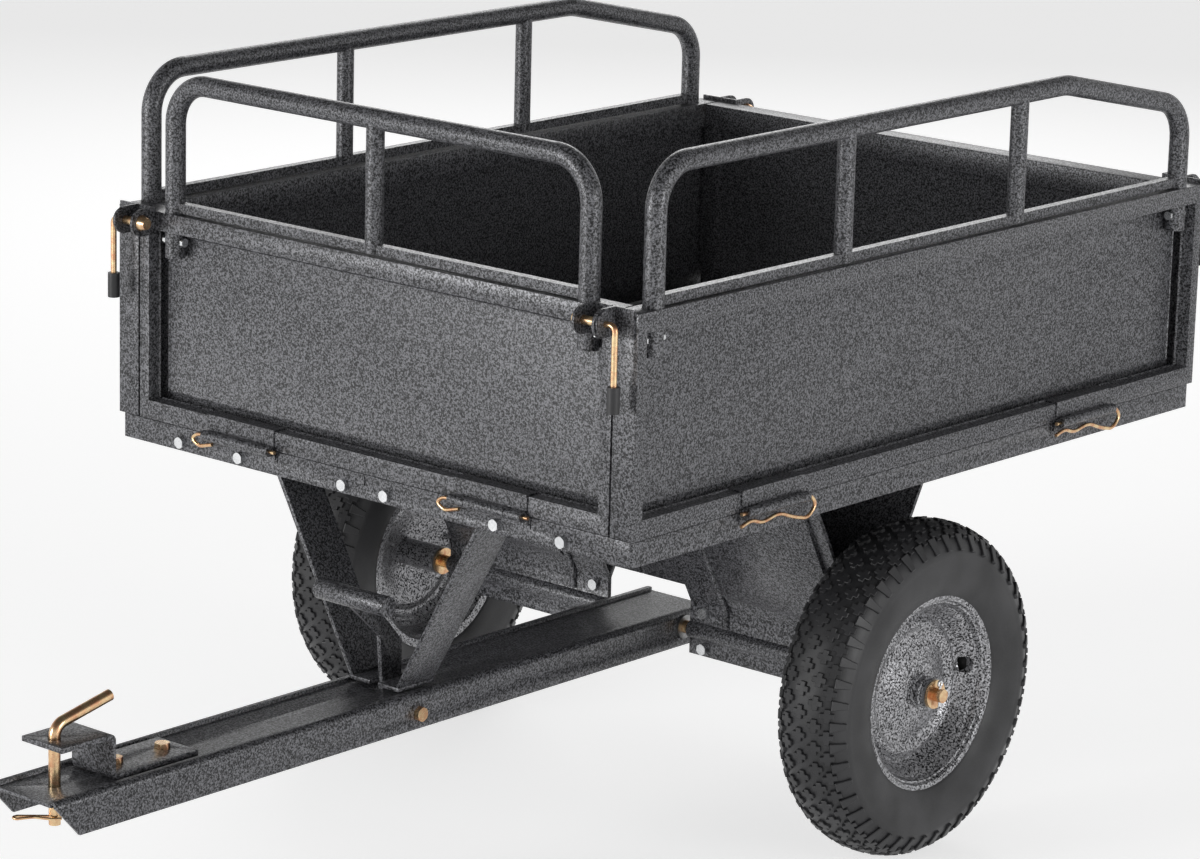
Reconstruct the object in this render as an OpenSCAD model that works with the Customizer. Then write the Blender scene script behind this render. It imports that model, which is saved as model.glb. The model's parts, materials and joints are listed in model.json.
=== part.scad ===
// Tow-behind dump cart: a pressed steel bed on two pneumatic wheels, four panels that
// fold down on hinges held by spring clips, tubular railings, and a tongue that pivots
// on the axle, held by a foot pedal. Millimetres, +Z up, the tongue points towards -Y.
// Lengths along Y are written from the front edge of the bed, and the whole cart is
// then moved so that the middle of its length is at Y = 0.

/* [Bed] */
// Width of the bed over its folded edge
bed_w = 794; // [700:1:960]
// Length of the bed over its folded edge
bed_l = 1056; // [900:1:1300]
// Height of the lower edge of the bed above the ground
bed_z = 444; // [430:1:560]
// Height of the folded edge of the bed
band_h = 28; // [24:1:36]
// Thickness of the bed sheet
sheet = 2; // [1.5:0.5:3]
// Height that the cargo floor is pressed up between the panels
floor_rise = 3; // [2:0.5:5]

/* [Panels] */
// Height of each panel
panel_h = 250; // [200:1:320]
// Depth of each panel, from its outer face to its inner edge
panel_t = 32; // [30:1:40]
// Height of the top and bottom rails of a panel
rail_h = 22; // [18:1:28]
// Width of the end rails of a panel
rail_w = 15; // [12:1:20]
// Thickness of the panel sheet
panel_sheet = 1.8; // [1.5:0.1:2.5]
// Distance that the panels stand out past the folded edge
panel_out = 3; // [1:0.5:5]
// Gap under a panel and beside the corners
panel_gap = 2; // [1.5:0.5:4]

/* [Railings] */
// Outer diameter of the railing tube
rail_od = 24; // [20:0.5:25]
// Outer diameter of the railing uprights
upright_od = 21; // [16:0.5:24]
// Wall of the railing tube
tube_wall = 1.5; // [1.2:0.1:3]
// Height of the railing's top tube axis above the panel
railing_h = 154; // [120:1:220]
// Bend radius at the corners of a railing, on the tube axis
railing_bend = 50; // [40:1:70]
// Distance from the end of a panel to the axis of a side railing leg
side_leg_in = 39; // [34:1:60]
// Distance from the middle of the front panel to each leg of its railing
front_leg_x = 319; // [260:1:325]
// Length of the sloping end of a side railing
slope_run = 244; // [160:1:320]
// Angle of the sloping end of a side railing
slope_deg = 12.3; // [6:0.1:16]

/* [Tongue] */
// Width of the tongue channel
tongue_w = 108; // [90:1:120]
// Height of the tongue channel
tongue_h = 43; // [38:1:55]
// Thickness of the tongue sheet
tongue_t = 3.5; // [3:0.5:5]
// Reach of the tongue in front of the bed
tongue_reach = 518; // [420:1:700]
// Diameter of the hitch pin
pin_d = 13; // [10:0.5:16]
// Distance from the front end of the tongue to the hitch pin
pin_in = 46; // [40:1:70]
// Clear height between the tongue and the hitch plate
hitch_gap = 47; // [40:1:60]
// Width of the hitch plate
hitch_w = 64; // [50:1:70]

/* [Wheels] */
// Outer diameter of the tyre
tyre_od = 400; // [390:1:420]
// Width of the tyre
tyre_w = 98; // [90:1:110]
// Distance between the middles of the two tyres
track = 782; // [760:1:1000]
// Distance from the front edge of the bed to the axle
axle_y = 507; // [440:1:600]
// Diameter of the axle
axle_d = 16; // [14:1:20]
// Outer diameter of the wheel hub
hub_d = 40; // [36:1:50]

/* [Hidden] */
$fn = 64;
eps = 0.01;

// Heights
axle_z = tyre_od / 2;
floor_z = bed_z + band_h;              // top of the bed's edge
under_z = floor_z - sheet;             // underside of the floor sheet
raised_under = under_z + floor_rise;   // underside of its raised middle
panel_z = floor_z + panel_gap;         // underside of the panels
panel_top = panel_z + panel_h;
// Panel places, from the middle of the bed
side_x = bed_w / 2 + panel_out;        // outer face of a side panel
side_len = bed_l + 2 * panel_out;
end_len = 2 * (side_x - panel_t - panel_gap - 1);  // length of the front panel and tailgate
wall_deep = 16;                        // straight part of the recess in a panel
recess = rail_od + 1.2;                // full depth of the recess
leg_deep = 1 + rail_od / 2;            // axis of a railing leg behind the outer face
leg_clear = 0.4;                       // radial clearance of a leg in its rail
stub_len = 31;                         // a leg's length below the top rail
bar_size = 11.5;                       // square bar under the railing uprights
bar_gap = 1.5;                         // gap between that bar and the panel
// Hinges
clip_d = 4.5;                          // wire of the spring clips
knuckle_d = 12;
knuckle_bore = clip_d + 0.2;
hinge_out = 8;                         // hinge axis in front of a panel's outer face
leaf_t = 2;
leaf_drop = 5.5;                       // height of the bed leaf under its knuckles
leaf_w = 108;
knuckle_gap = 0.8;
bed_knuckle = 24;                      // length of each knuckle on the bed
hinge_end_x = 195;                     // hinge centres on the front panel and tailgate
hinge_side_in = 236;                   // hinge centres from the ends of a side panel
// Latches
latch_out = 22;                        // latch axis in front of a panel's outer face
latch_z = panel_top - 11;
ear_r = 16;
ear_t = 3;
latch_d = 7;
latch_bore = latch_d + 0.2;
side_ear_x = side_x - panel_t - 1;     // inner face of a side panel's ear
end_ear_x = side_ear_x - 28;           // inner face of a front panel's ear
latch_bush_d = 10.5;
latch_disc_t = 3;
latch_travel = 6;
latch_bend = 7;
latch_drop = 66;                       // latch axis to the lower end of the rod
grip_len = 29;
grip_d = 14;
// Tongue
web_drop = 4;                          // pressed-down middle of the tongue
shoulder_w = 12;
tongue_z = axle_z - tongue_h / 2 - 2.5;
tongue_top = tongue_z + tongue_h;
web_top = tongue_top - web_drop;
tongue_tail = 52;                      // length of the tongue behind the axle
nose_cut = 34;                         // cut back at the front of the flanges
pin_y = -tongue_reach + pin_in;
hitch_t = 6;
hitch_top = web_top + hitch_gap + hitch_t;
pin_clear = 0.5;
pin_low = tongue_z - 4;
clip_low_z = tongue_z + 5;
// Pedal
pedal_y = 38;
pedal_z = tongue_z + 18;
pedal_bolt_d = 10;
pedal_t = 6;
pedal_bar_d = 24;
pedal_bar_w = 108;
pedal_bar_y = -15;
pedal_bar_z = 331;
// Struts
strut_t = 5;
strut_w = 60;
strut_y = 19;                          // front edge of the struts
strut_foot_x = 34;
strut_top_x = 170;
yoke_gap = 0.4;
yoke_t = 5;
// Axle brackets
bracket_t = 3;
bracket_in = tongue_w / 2 + 12;        // side of the opening for the tongue
bracket_out = 330;
bracket_low = axle_z - 30;
bracket_knee = axle_z + 36;
bracket_run = 128;
bracket_flange = 30;
bracket_win_z = 258;
// Wheels
bead_r = 101.5;
flange_r = 117;
rim_half = 38;                         // half the rim's width over its flanges
hub_in = 42;                           // hub ends from the middle of the wheel
hub_out = 38.5;
run_clear = 0.05;
bush_wall = 4;
bush_head = 2.5;
washer_t = 3;
washer_d = 34;
axle_out = 11;                         // how far the axle stands out of its outer washer
cotter_in = 6;
axle_half = track / 2 + hub_out + bush_head + 0.5 + washer_t + axle_out;
// Whole cart along Y
front_end = -tongue_reach;
rear_end = bed_l + panel_out + latch_out + ear_r;
y_mid = (front_end + rear_end) / 2;

steel = "dimgray";
zinc = "goldenrod";

function unit(v) = v / norm(v);
function turn_at(a, p, b) = acos(max(-1, min(1, unit(p - a) * unit(b - p))));
function arc_start(a, p, b, r) = p - unit(p - a) * r * tan(turn_at(a, p, b) / 2);
function arc_end(a, p, b, r) = p + unit(b - p) * r * tan(turn_at(a, p, b) / 2);
function arc_mid(a, p, b, r) =
    p + unit(unit(a - p) + unit(b - p)) * r / cos(turn_at(a, p, b) / 2);
function angle_of(v) = atan2(v[1], v[0]);
function signed(a) = a > 180 ? a - 360 : a < -180 ? a + 360 : a;

module placed() { translate([0, -y_mid, 0]) children(); }

// A round bar from one point to the next in the XY plane
module bar_between(a, b, d) {
    translate([a[0], a[1], 0]) rotate([0, 0, angle_of(b - a)]) rotate([0, 90, 0])
        cylinder(h = norm(b - a), d = d);
}

// A round bar bent at each inner point of the path, lying in the XZ plane. The bends are a touch
// thicker than the straights, which reach a little way into them.
bend_swell = 0.1;
bend_lap = 0.4;
module bent_bar(path, bend, d, extra = 0) {
    last = len(path) - 1;
    function r_at(i) = is_list(bend) ? bend[i] : bend;
    function on_from(p, q, l) = p + unit(q - p) * l;
    rotate([90, 0, 0]) union() {
        for (i = [0 : last - 1]) {
            a = i == 0 ? path[0] : arc_end(path[i - 1], path[i], path[i + 1], r_at(i));
            b = i == last - 1 ? path[last]
                : arc_start(path[i], path[i + 1], path[i + 2], r_at(i + 1));
            bar_between(on_from(a, b, i == 0 ? -extra : -bend_lap),
                on_from(b, a, i == last - 1 ? -extra : -bend_lap), d);
        }
        for (i = [1 : last - 1]) {
            c = arc_mid(path[i - 1], path[i], path[i + 1], r_at(i));
            a0 = angle_of(arc_start(path[i - 1], path[i], path[i + 1], r_at(i)) - c);
            a1 = angle_of(arc_end(path[i - 1], path[i], path[i + 1], r_at(i)) - c);
            sweep = signed(a1 - a0);
            translate([c[0], c[1], 0]) rotate([0, 0, sweep > 0 ? a0 : a1])
                rotate_extrude(angle = abs(sweep)) translate([r_at(i), 0])
                    circle(d = d + bend_swell, $fn = 32);
        }
    }
}

// Extrudes an outline drawn in Y and Z along X, from x0 to x1
module along_x(x0, x1) {
    translate([x0, 0, 0]) rotate([90, 0, 90]) linear_extrude(x1 - x0) children();
}

module rod_x(x0, x1, d) { translate([x0, 0, 0]) rotate([0, 90, 0]) cylinder(h = x1 - x0, d = d); }

module rod_y(y0, y1, d) { translate([0, y0, 0]) rotate([-90, 0, 0]) cylinder(h = y1 - y0, d = d); }

// A hexagon head along +X from its seat at x = 0
module hex_x(af, h) {
    rotate([0, 90, 0]) intersection() {
        cylinder(h = h, d = af / cos(30), $fn = 6);
        cylinder(h = h, d1 = af * 1.14, d2 = af * 1.04);
    }
}

// A bolt along X: head outside x1, shank to x0, nut on the far side
module bolt_x(x0, x1, d, af) {
    rod_x(x0 - 0.8 * d - 2, x1, d);
    translate([x1, 0, 0]) hex_x(af, 0.65 * d);
    translate([x0, 0, 0]) mirror([1, 0, 0]) difference() {
        hex_x(af, 0.8 * d);
        rod_x(-1, d, d + 0.02);
    }
}

// Places of the four panels: local -Y is outwards, local Z = 0 is the panel's underside
module at_front() { translate([0, -panel_out, panel_z]) children(); }
module at_rear() { translate([0, bed_l, 0]) mirror([0, 1, 0]) at_front() children(); }
module at_right() {
    translate([side_x, bed_l / 2, panel_z]) rotate([0, 0, 90]) children();
}
module at_left() { mirror([1, 0, 0]) at_right() children(); }

module both_x() { children(); mirror([1, 0, 0]) children(); }

// ---------------------------------------------------------------- bed
module rounded_plate(w, l, h, r) {
    linear_extrude(h) union() {
        square([w - 2 * r, l], center = true);
        square([w, l - 2 * r], center = true);
        for (x = [-1, 1], y = [-1, 1])
            translate([x * (w / 2 - r), y * (l / 2 - r)]) circle(r);
    }
}

band_bolt_xs = [-298, -200, -33, 33, 200, 298];
band_bolt_z = bed_z + 10;
floor_in = panel_t - panel_out + 11;   // edge of the raised cargo floor
slit_w = 1.6;
slit_h = 13;
slit_in = leaf_w / 2 + 2;              // from a hinge's middle to the slit beside it

module band_slits() {
    for (x = [-hinge_end_x + slit_in, 0, hinge_end_x + slit_in]) for (y = [0, bed_l])
        translate([x - slit_w / 2, y - sheet - 1, floor_z - slit_h])
            cube([slit_w, 2 * sheet + 2, slit_h - sheet]);
    for (x = [-bed_w / 2, bed_w / 2])
        for (y = [hinge_side_in - slit_in, bed_l - hinge_side_in - slit_in])
            translate([x - sheet - 1, y, floor_z - slit_h])
                cube([2 * sheet + 2, slit_w, slit_h - sheet]);
}

module floor_pan() {
    color(steel) placed() difference() {
        translate([0, bed_l / 2, 0]) difference() {
            union() {
                translate([0, 0, bed_z]) rounded_plate(bed_w, bed_l, band_h, 5);
                translate([0, 0, floor_z - eps])
                    rounded_plate(bed_w - 2 * floor_in, bed_l - 2 * floor_in,
                        floor_rise + eps, 12);
            }
            translate([0, 0, bed_z - 1])
                rounded_plate(bed_w - 2 * sheet, bed_l - 2 * sheet, band_h - sheet + 1, 3);
            translate([0, 0, under_z - 1])
                rounded_plate(bed_w - 2 * floor_in - 2 * sheet,
                    bed_l - 2 * floor_in - 2 * sheet, floor_rise + 1, 10);
        }
        band_slits();
        for (x = band_bolt_xs) translate([x, 0, band_bolt_z]) rod_y(-1, sheet + 1, 8.4);
    }
}

// Angles behind the front and rear edges, and two channels across the bed
rib_ys = [200, 860];
rib_h = 20;
rib_w = 46;
rib_half = bed_w / 2 - floor_in - sheet - 10;
angle_len = bed_w - 60;
module floor_ribs() {
    color(steel) placed() {
        difference() {
            translate([-angle_len / 2, sheet, bed_z + 2]) union() {
                cube([angle_len, 3, under_z - bed_z - 2]);
                translate([0, 0, under_z - bed_z - 5]) cube([angle_len, 14, 3]);
            }
            for (x = band_bolt_xs) translate([x, 0, band_bolt_z]) rod_y(0, 20, 8.4);
        }
        for (y = rib_ys) translate([-rib_half, y - rib_w / 2, raised_under - rib_h])
            difference() {
                cube([2 * rib_half, rib_w, rib_h]);
                translate([-1, 2.5, 2.5]) cube([bed_w, rib_w - 5, rib_h]);
            }
    }
}

module band_bolts() {
    color("silver") placed() for (x = band_bolt_xs) translate([x, 0, band_bolt_z])
        rotate([0, 0, -90]) bolt_x(-sheet - 3, 0, 8, 13);
}

// ---------------------------------------------------------------- axle and brackets
module axle() {
    color("gray") placed() translate([0, axle_y, axle_z]) difference() {
        rod_x(-axle_half, axle_half, axle_d);
        for (s = [-1, 1]) translate([s * (axle_half - cotter_in), 0, 0])
            cylinder(h = axle_d + 2, d = cotter_d + 0.4, center = true);
    }
}

bracket_bolt_xs = [bracket_in + 22, 300];
bracket_bolt_zs = [axle_z - 21, axle_z + 24];
bracket_top = raised_under;
raise_x0 = bracket_in + 62;
raise_x1 = 312;
raise_out = 6;

// Front half of the bracket's section, seen along X, with the axle at Y = 0
module bracket_section() {
    rise = bracket_top - bracket_knee;
    difference() {
        union() {
            polygon([[-0.1, bracket_low], [-bracket_t, bracket_low],
                [-bracket_t, bracket_knee], [-bracket_run - bracket_t, bracket_top - bracket_t],
                [-bracket_run - bracket_t - bracket_flange, bracket_top - bracket_t],
                [-bracket_run - bracket_t - bracket_flange, bracket_top],
                [-bracket_run, bracket_top], [-0.1, bracket_knee + 0.02 * rise]]);
            translate([0, axle_z]) intersection() {
                circle(r = axle_d / 2 + bracket_t);
                translate([-50, -50]) square([49.9, 100]);
            }
        }
        translate([0, axle_z]) circle(d = axle_d + 0.1);
    }
}

// The pressed-out middle of the bracket's sloping face
module raised_section() {
    lean = bracket_run / (bracket_top - bracket_knee);
    z0 = bracket_knee + 16;
    z1 = bracket_top - 10;
    function face_y(z) = -bracket_t - (z - bracket_knee) * lean;
    polygon([[face_y(z0) + 0.5, z0], [face_y(z0 + 10) - raise_out, z0 + 8],
        [face_y(z1 - 10) - raise_out, z1 - 12], [face_y(z1) + 0.5, z1]]);
}

module bracket_half() {
    difference() {
        union() {
            along_x(1, bracket_out) bracket_section();
            along_x(raise_x0, raise_x1) raised_section();
        }
        translate([0, -200, bracket_low - 1])
            cube([bracket_in, 400, bracket_win_z - bracket_low + 1]);
        for (x = bracket_bolt_xs, z = bracket_bolt_zs) translate([x, 0, z])
            rod_y(-40, 40, 8.4);
    }
}

module axle_bracket() {
    placed() translate([0, axle_y, 0]) {
        bracket_half();
        mirror([0, 1, 0]) bracket_half();
    }
}
module axle_bracket_right() { color(steel) axle_bracket(); }
module axle_bracket_left() { color(steel) mirror([1, 0, 0]) axle_bracket(); }

module bracket_bolts() {
    color("silver") placed() both_x() for (x = bracket_bolt_xs, z = bracket_bolt_zs)
        translate([x, axle_y, z]) rotate([0, 0, -90]) bolt_x(-bracket_t, bracket_t, 8, 13);
}

// ---------------------------------------------------------------- struts
module strut() {
    z0 = tongue_top + yoke_gap + yoke_t;
    placed() translate([0, strut_y, 0]) rotate([90, 0, 0]) mirror([0, 0, 1])
        linear_extrude(strut_w) polygon([
            [strut_foot_x, z0], [strut_foot_x + strut_t, z0],
            [strut_top_x + strut_t, under_z - strut_t], [strut_top_x + 34, under_z - strut_t],
            [strut_top_x + 34, under_z], [strut_top_x, under_z]]);
}
module strut_right() { color(steel) strut(); }
module strut_left() { color(steel) mirror([1, 0, 0]) strut(); }

// Cross plate between the feet of the struts, open at the front for the pedal
slot_half = 6;
slot_back = 45;
module strut_yoke() {
    color(steel) placed()
        translate([-strut_foot_x - strut_t, strut_y, tongue_top + yoke_gap]) difference() {
            cube([2 * (strut_foot_x + strut_t), strut_w, yoke_t]);
            translate([strut_foot_x + strut_t - slot_half, -1, -1])
                cube([2 * slot_half, slot_back + 1, yoke_t + 2]);
        }
}

// ---------------------------------------------------------------- hinges and clips
module knuckle(x0, x1) {
    difference() {
        rod_x(x0, x1, knuckle_d);
        rod_x(x0 - 1, x1 + 1, knuckle_bore);
    }
}

mid_half = leaf_w / 2 - bed_knuckle - knuckle_gap;

// Two knuckles on the bed, joined to a plate on the folded edge
module bed_leaf() {
    for (s = [-1, 1]) {
        x0 = s > 0 ? leaf_w / 2 - bed_knuckle : -leaf_w / 2;
        difference() {
            union() {
                translate([0, -hinge_out, 0]) rod_x(x0, x0 + bed_knuckle, knuckle_d);
                translate([x0, -hinge_out, -knuckle_d / 2])
                    cube([bed_knuckle, hinge_out + panel_out, leaf_t]);
            }
            translate([0, -hinge_out, 0]) rod_x(x0 - 1, x0 + bed_knuckle + 1, knuckle_bore);
        }
    }
    translate([-leaf_w / 2, panel_out - leaf_t, -knuckle_d / 2 - leaf_drop])
        cube([leaf_w, leaf_t, leaf_drop + eps]);
}

// Middle knuckle on the panel, joined to a plate that folds over the bottom rail
module panel_leaf() {
    difference() {
        union() {
            translate([0, -hinge_out, 0]) rod_x(-mid_half, mid_half, knuckle_d);
            translate([-mid_half, -hinge_out, knuckle_d / 2 - leaf_t])
                cube([2 * mid_half, hinge_out, leaf_t]);
        }
        translate([0, -hinge_out, 0]) rod_x(-mid_half - 1, mid_half + 1, knuckle_bore);
    }
    translate([-leaf_w / 2, -leaf_t, knuckle_d / 2 - leaf_t])
        cube([leaf_w, leaf_t, rail_h - knuckle_d / 2 + 2 * leaf_t]);
    translate([-leaf_w / 2, -leaf_t, rail_h]) cube([leaf_w, leaf_t + wall_deep, leaf_t]);
}

module end_hinges() { for (x = [-hinge_end_x, hinge_end_x]) translate([x, 0, 0]) children(); }
module side_hinges() {
    for (x = [-1, 1]) translate([x * (side_len / 2 - hinge_side_in), 0, 0]) children();
}

module bed_hinge_knuckles() {
    color(steel) placed() {
        at_front() end_hinges() bed_leaf();
        at_rear() end_hinges() bed_leaf();
        at_right() side_hinges() bed_leaf();
        at_left() side_hinges() bed_leaf();
    }
}

// Spring clip: a straight leg is the hinge pin, the other leg is wavy
long_clip = [[-62, 0], [58, 0], [66, -14], [44, -24], [2, -11], [-26, -14], [-44, -9], [-62, -13]];
short_clip = [[62, 0], [-66, 0], [-74, -7], [-62, -14], [-40, -9]];
clip_bend = 5;
module hinge_clip(path) { translate([0, -hinge_out, 0]) bent_bar(path, clip_bend, clip_d); }

module hinge_clips() {
    color(zinc) placed() {
        at_front() end_hinges() hinge_clip(short_clip);
        at_rear() end_hinges() hinge_clip(short_clip);
        at_right() side_hinges() hinge_clip(long_clip);
        at_left() side_hinges() hinge_clip(long_clip);
    }
}

// ---------------------------------------------------------------- panels
// Outline of a recess, in from the panel's ends by a and from its top and bottom by b
module recess_block(length, a, b, y0, y1) {
    translate([-length / 2 + a, y0, b]) cube([length - 2 * a, y1 - y0, panel_h - 2 * b]);
}

// Sloping foot of the recess, from the straight wall to the flat field
module recess_slope(length) {
    deep = recess - wall_deep;
    hull() {
        recess_block(length, rail_w, rail_h, wall_deep - 0.1, wall_deep);
        recess_block(length, rail_w + deep, rail_h + deep, recess - 0.1, recess);
    }
}

module pressed_panel(length, legs) {
    s = panel_sheet;
    difference() {
        recess_block(length, 0, 0, 0, panel_t);
        recess_block(length, rail_w, rail_h, -1, wall_deep);
        recess_slope(length);
        // hollow of the rails, open underneath
        difference() {
            recess_block(length, s, s, s, panel_t - s);
            recess_block(length, rail_w - s, rail_h - s, 0, wall_deep + s);
            recess_block(length, rail_w + 8, rail_h + 8, 0, panel_t);
        }
        translate([-length / 2 + rail_w, s, -1]) cube([length - 2 * rail_w, panel_t - 2 * s, 3]);
        // shallow recess on the inner side
        recess_block(length, rail_w + 8 + s, rail_h + 8 + s, recess + s, panel_t + 1);
        for (x = legs) translate([x, leg_deep, panel_h - rail_h - 12])
            cylinder(h = rail_h + 14, d = rail_od + 2 * leg_clear);
    }
}

side_legs = [-side_len / 2 + side_leg_in, side_len / 2 - side_leg_in];
front_legs = [-front_leg_x, front_leg_x];
module front_panel() { color(steel) placed() at_front() pressed_panel(end_len, front_legs); }
module tailgate_panel() { color(steel) placed() at_rear() pressed_panel(end_len, []); }
module right_panel() { color(steel) placed() at_right() pressed_panel(side_len, side_legs); }
module left_panel() { color(steel) placed() at_left() pressed_panel(side_len, side_legs); }

module front_hinge_leaves() { color(steel) placed() at_front() end_hinges() panel_leaf(); }
module tailgate_hinge_leaves() { color(steel) placed() at_rear() end_hinges() panel_leaf(); }
module right_hinge_leaves() { color(steel) placed() at_right() side_hinges() panel_leaf(); }
module left_hinge_leaves() { color(steel) placed() at_left() side_hinges() panel_leaf(); }

// ---------------------------------------------------------------- railings
// Tube loop with uprights and a square bar along the panel's top
module railing(path, bends, uprights, upright_tops) {
    x0 = path[0][0];
    x1 = path[len(path) - 1][0];
    bar_z = panel_h + bar_gap;
    bolt_z = panel_h - rail_h - 12;
    translate([0, leg_deep, 0]) difference() {
        union() {
            bent_bar(path, bends, rail_od);
            for (i = [0 : len(uprights) - 1]) translate([uprights[i], 0, bar_z + 1])
                cylinder(h = upright_tops[i] - bar_z - 1, d = upright_od);
            translate([x0, -bar_size / 2, bar_z]) cube([x1 - x0, bar_size, bar_size]);
        }
        bent_bar(path, bends, rail_od - 2 * tube_wall, 1);
        for (i = [0 : len(uprights) - 1]) translate([uprights[i], 0, bar_z + bar_size])
            cylinder(h = upright_tops[i] - bar_z - bar_size, d = upright_od - 2 * tube_wall);
        for (x = [x0, x1]) translate([x, 0, bolt_z])
            rod_x(-rail_od, rail_od, stub_bolt_d + 0.3);
    }
}

stub_bolt_d = 6;
leg_low = panel_h - rail_h - stub_len;
top_z = panel_h + railing_h;
front_path = [[-front_leg_x, leg_low], [-front_leg_x, top_z],
    [front_leg_x, top_z], [front_leg_x, leg_low]];
peak_x = side_legs[1] - slope_run;
slope_end_z = top_z - slope_run * tan(slope_deg);
side_path = [[side_legs[0], leg_low], [side_legs[0], top_z], [peak_x, top_z],
    [side_legs[1], slope_end_z], [side_legs[1], leg_low]];
side_uprights = [side_legs[0] + 325, side_legs[0] + 650];
peak_bend = 90;                        // bend where a side railing starts to slope down

module side_railing() {
    railing(side_path, [0, railing_bend, peak_bend, railing_bend], side_uprights, [top_z, top_z]);
}
module front_railing() {
    color(steel) placed() at_front() railing(front_path, railing_bend, [0], [top_z]);
}
module right_railing() { color(steel) placed() at_right() side_railing(); }
module left_railing() { color(steel) placed() at_left() side_railing(); }

// A bolt through each leg under the top rail keeps the railing in its panel
module stub_bolts(legs) {
    for (i = [0, 1]) translate([legs[i], leg_deep, panel_h - rail_h - 12])
        mirror([i, 0, 0]) bolt_x(-rail_od / 2 - 0.2, rail_od / 2 + 0.2, stub_bolt_d, 10);
}
module front_railing_bolts() { color("silver") placed() at_front() stub_bolts(front_legs); }
module right_railing_bolts() { color("silver") placed() at_right() stub_bolts(side_legs); }
module left_railing_bolts() { color("silver") placed() at_left() stub_bolts(side_legs); }

// ---------------------------------------------------------------- latches
// Latch places: the front right corner, mirrored to the others
module latch_place(right, front) {
    translate([0, front ? 0 : bed_l, 0]) mirror([0, front ? 0 : 1, 0])
        mirror([right ? 0 : 1, 0, 0]) translate([0, -panel_out - latch_out, latch_z]) children();
}

// Round-ended ear between x0 and x1, with its foot on the panel's outer face
module latch_ear(x, foot_w) {
    difference() {
        union() {
            rod_x(x, x + ear_t, 2 * ear_r);
            translate([x, 0, -ear_r]) cube([ear_t, latch_out, 2 * ear_r]);
            translate([x, latch_out - ear_t, -ear_r]) cube([foot_w, ear_t, 2 * ear_r]);
        }
        children();
    }
}

module end_ear() {
    latch_ear(end_ear_x, end_len / 2 - end_ear_x - 1)
        rod_x(end_ear_x - 1, end_ear_x + ear_t + 1, latch_bush_d);
}

module side_ear() {
    latch_ear(side_ear_x, panel_t - 3)
        rod_x(side_ear_x - 1, side_ear_x + ear_t + 1, latch_bore);
    difference() {
        rod_x(side_ear_x + ear_t, side_ear_x + ear_t + latch_disc_t, 28);
        rod_x(side_ear_x, side_ear_x + 20, latch_bore);
    }
}

// Bush in the front ear that takes the latch pin, with a round head inboard
module end_bush() {
    mouth = side_ear_x - 0.6;
    difference() {
        union() {
            rod_x(end_ear_x - 4, mouth, latch_bush_d - 0.1);
            translate([end_ear_x - 9, 0, 0]) rotate([0, 90, 0])
                cylinder(h = 9, d1 = 13, d2 = 19);
        }
        rod_x(mouth - 16, mouth + 1, latch_bore);
    }
}

module front_latch_ears() {
    color(steel) placed() { latch_place(true, true) end_ear(); latch_place(false, true) end_ear(); }
}
module tailgate_latch_ears() {
    color(steel) placed() { latch_place(true, false) end_ear(); latch_place(false, false) end_ear(); }
}
module right_latch_ears() {
    color(steel) placed() { latch_place(true, true) side_ear(); latch_place(true, false) side_ear(); }
}
module left_latch_ears() {
    color(steel) placed() { latch_place(false, true) side_ear(); latch_place(false, false) side_ear(); }
}
module front_latch_bushes() {
    color(zinc) placed() { latch_place(true, true) end_bush(); latch_place(false, true) end_bush(); }
}
module tailgate_latch_bushes() {
    color(zinc) placed() { latch_place(true, false) end_bush(); latch_place(false, false) end_bush(); }
}

// L-shaped latch pin, drawn back until its tip is inside the side panel's ear
latch_rod_x = side_ear_x + ear_t + latch_disc_t + latch_travel + latch_bend + 0.5;
module latch_pin(right, front) {
    color(zinc) placed() latch_place(right, front)
        bent_bar([[side_ear_x, 0], [latch_rod_x, 0], [latch_rod_x, -latch_drop - grip_len + 3]],
            latch_bend, latch_d);
}
module latch_grip(right, front) {
    color("black") placed() latch_place(right, front)
        translate([latch_rod_x, 0, -latch_drop - grip_len]) difference() {
            cylinder(h = grip_len, d = grip_d);
            translate([0, 0, 3]) cylinder(h = grip_len, d = latch_d);
        }
}
module latch_pin_front_left() { latch_pin(false, true); }
module latch_pin_front_right() { latch_pin(true, true); }
module latch_pin_rear_left() { latch_pin(false, false); }
module latch_pin_rear_right() { latch_pin(true, false); }
module latch_grip_front_left() { latch_grip(false, true); }
module latch_grip_front_right() { latch_grip(true, true); }
module latch_grip_rear_left() { latch_grip(false, false); }
module latch_grip_rear_right() { latch_grip(true, false); }

// ---------------------------------------------------------------- tongue
// Section of the tongue in X and Z: a channel open below, with a pressed-down middle
module tongue_section() {
    h = tongue_w / 2;
    r = 7;
    t = tongue_t;
    difference() {
        union() {
            translate([-h, 0]) square([tongue_w, tongue_h - r]);
            translate([-h + r, 0]) square([tongue_w - 2 * r, tongue_h]);
            for (s = [-1, 1]) translate([s * (h - r), tongue_h - r]) circle(r);
        }
        translate([-h + shoulder_w, tongue_h - web_drop])
            square([tongue_w - 2 * shoulder_w, web_drop + 1]);
        translate([-h + t, -1]) square([tongue_w - 2 * t, tongue_h - web_drop - t + 1]);
        for (s = [-1, 1]) translate([s * (h - (shoulder_w + t) / 2 + 0.5) - 2.2, tongue_h - web_drop - t - 1])
            square([4.4, web_drop + 1]);
    }
}

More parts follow.
